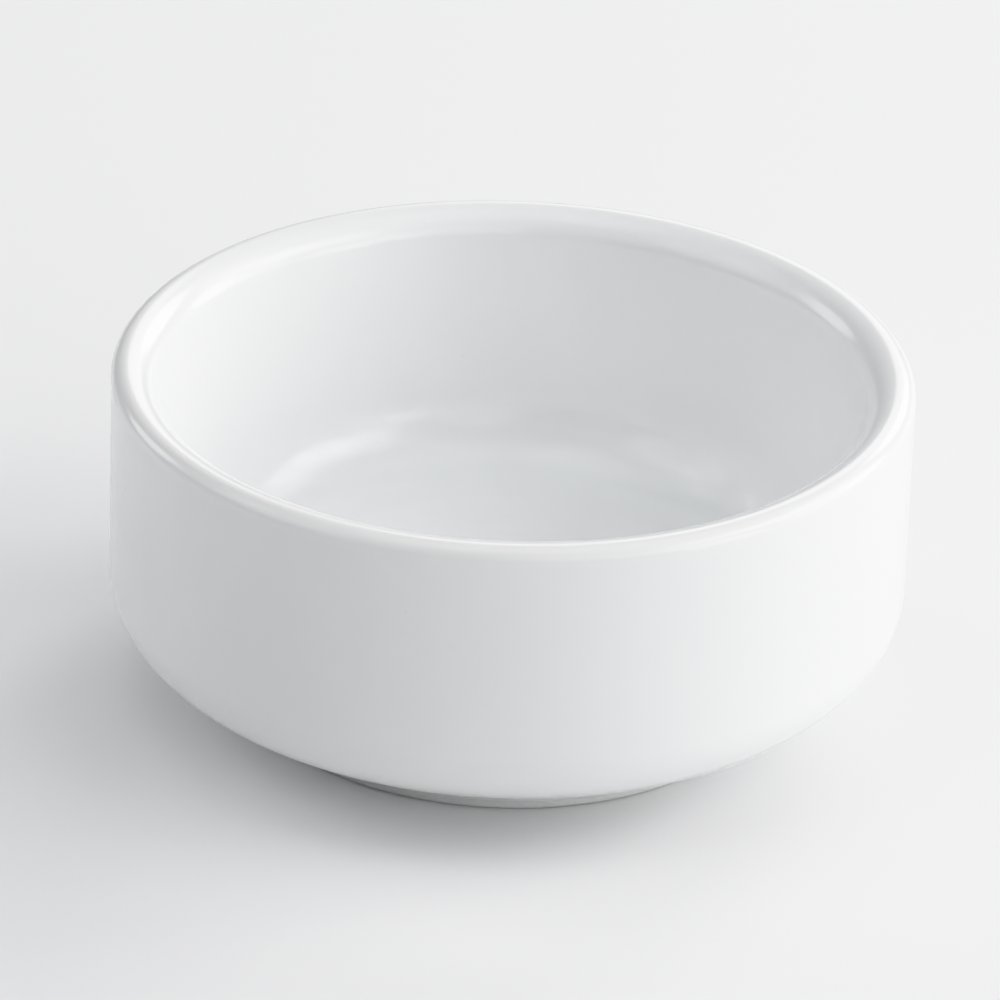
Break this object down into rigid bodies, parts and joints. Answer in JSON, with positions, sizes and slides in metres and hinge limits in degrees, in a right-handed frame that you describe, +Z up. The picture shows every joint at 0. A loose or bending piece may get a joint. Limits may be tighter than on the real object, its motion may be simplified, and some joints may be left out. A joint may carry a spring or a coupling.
{
  "type": "sauce dish",
  "caption": "Small round white porcelain dish for soy or dipping sauce, with an upright wall, a soft rounded rim, a lower edge that curves in and a turned foot ring to stand on.",
  "frame": {"origin": "centre of the foot ring, on the table it stands on", "axes": "+Z up along the axis the dish is turned about; it is the same all round, so X and Y are free"},
  "size_m": [0.072, 0.072, 0.032],
  "materials": {
    "biscuit": "matt unglazed fired porcelain, seen only on the foot ring",
    "glaze": "smooth white gloss glaze",
    "base_glaze": "smooth white gloss glaze, thinner and less even under the base"
  },
  "bodies": {
    "root": {"porcelain_body": "biscuit", "glaze_coat": "glaze", "base_glaze": "base_glaze"}
  },
  "joints": []
}
